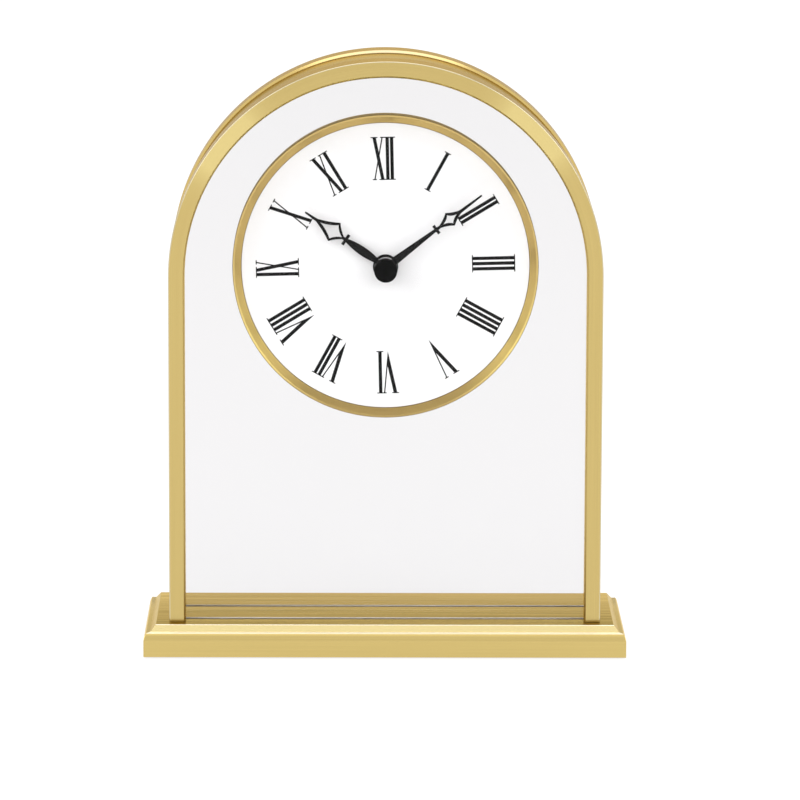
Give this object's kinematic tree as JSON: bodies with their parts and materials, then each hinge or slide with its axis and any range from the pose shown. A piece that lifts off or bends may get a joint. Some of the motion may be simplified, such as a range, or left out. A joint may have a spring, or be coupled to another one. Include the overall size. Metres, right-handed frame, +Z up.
{
  "type": "arched mantel clock",
  "caption": "Arched brass and glass mantel clock on a moulded brass base, with a round white Roman dial, two black hands and a quartz movement.",
  "frame": {"origin": "centre of the base's footprint, on the surface that the clock stands on", "axes": "+Z up, -Y out of the dial towards the viewer, +X to the viewer's right"},
  "size_m": [0.1658, 0.06, 0.2052],
  "materials": {
    "polished_brass": "polished lacquered brass",
    "brushed_brass": "brushed and lacquered brass",
    "clear_glass": "clear polished glass",
    "white_dial": "matt white",
    "black_hands": "satin black",
    "black_plastic": "moulded black plastic",
    "white_plastic": "moulded white plastic",
    "steel": "zinc plated steel",
    "nut_brass": "turned brass",
    "rubber": "soft black rubber",
    "fibre": "red fibre",
    "felt": "green felt",
    "copper_wire": "enamelled copper wire",
    "board": "green board",
    "cell": "plain dark sleeve"
  },
  "bodies": {
    "case": {"arch_front_frame": "polished_brass", "arch_rear_frame": "polished_brass", "dial_bezel": "polished_brass", "base_plinth": "brushed_brass", "arch_band": "brushed_brass", "pane_spacer": "brushed_brass", "pane_keeper": "brushed_brass", "front_glass": "clear_glass", "rear_glass": "clear_glass", "dial_plate": "white_dial", "dial_support_ring": "white_dial", "movement_case": "black_plastic", "movement_cover": "black_plastic", "coil_bobbin": "black_plastic", "train_bridge": "black_plastic", "base_plate": "steel", "base_screws": "steel", "arch_screws": "steel", "stator": "steel", "coil_core": "steel", "battery_spring": "steel", "battery_contact": "steel", "quartz_crystal": "steel", "mounting_nut": "nut_brass", "mounting_gasket": "rubber", "mounting_washer": "fibre", "base_felt": "felt", "coil_winding": "copper_wire", "circuit_board": "board", "battery": "cell"},
    "minute": {"minute_arbor": "steel", "centre_wheel": "white_plastic", "minute_hand": "black_hands", "hand_cap": "black_hands"},
    "hour": {"hour_wheel": "white_plastic", "hour_hand": "black_hands"},
    "motion": {"motion_wheel": "white_plastic", "setting_knob": "black_plastic"},
    "third": {"third_wheel": "white_plastic"},
    "fourth": {"fourth_wheel": "white_plastic"},
    "rotor": {"rotor": "white_plastic"}
  },
  "joints": [
    {"name": "minute_turn", "type": "hinge", "parent": "case", "child": "minute", "pos_m": [0, 0, 0.132], "axis": [0, 1, 0], "continuous": true},
    {"name": "hour_turn", "type": "hinge", "parent": "case", "child": "hour", "pos_m": [0, 0, 0.132], "axis": [0, 1, 0], "continuous": true},
    {"name": "motion_turn", "type": "hinge", "parent": "case", "child": "motion", "pos_m": [-0.01039, 0, 0.138], "axis": [0, 1, 0], "continuous": true},
    {"name": "third_turn", "type": "hinge", "parent": "case", "child": "third", "pos_m": [0.00295, 0, 0.14301], "axis": [0, 1, 0], "continuous": true},
    {"name": "fourth_turn", "type": "hinge", "parent": "case", "child": "fourth", "pos_m": [0.0117, 0, 0.14301], "axis": [0, 1, 0], "continuous": true},
    {"name": "rotor_turn", "type": "hinge", "parent": "case", "child": "rotor", "pos_m": [0.01487, 0, 0.13621], "axis": [0, 1, 0], "continuous": true}
  ],
  "couplings": [
    {"joint": "hour_turn", "follows": "minute_turn", "ratio": 0.083333},
    {"joint": "motion_turn", "follows": "minute_turn", "ratio": -0.33333},
    {"joint": "third_turn", "follows": "minute_turn", "ratio": -3.75},
    {"joint": "fourth_turn", "follows": "minute_turn", "ratio": 15},
    {"joint": "rotor_turn", "follows": "minute_turn", "ratio": -60}
  ]
}
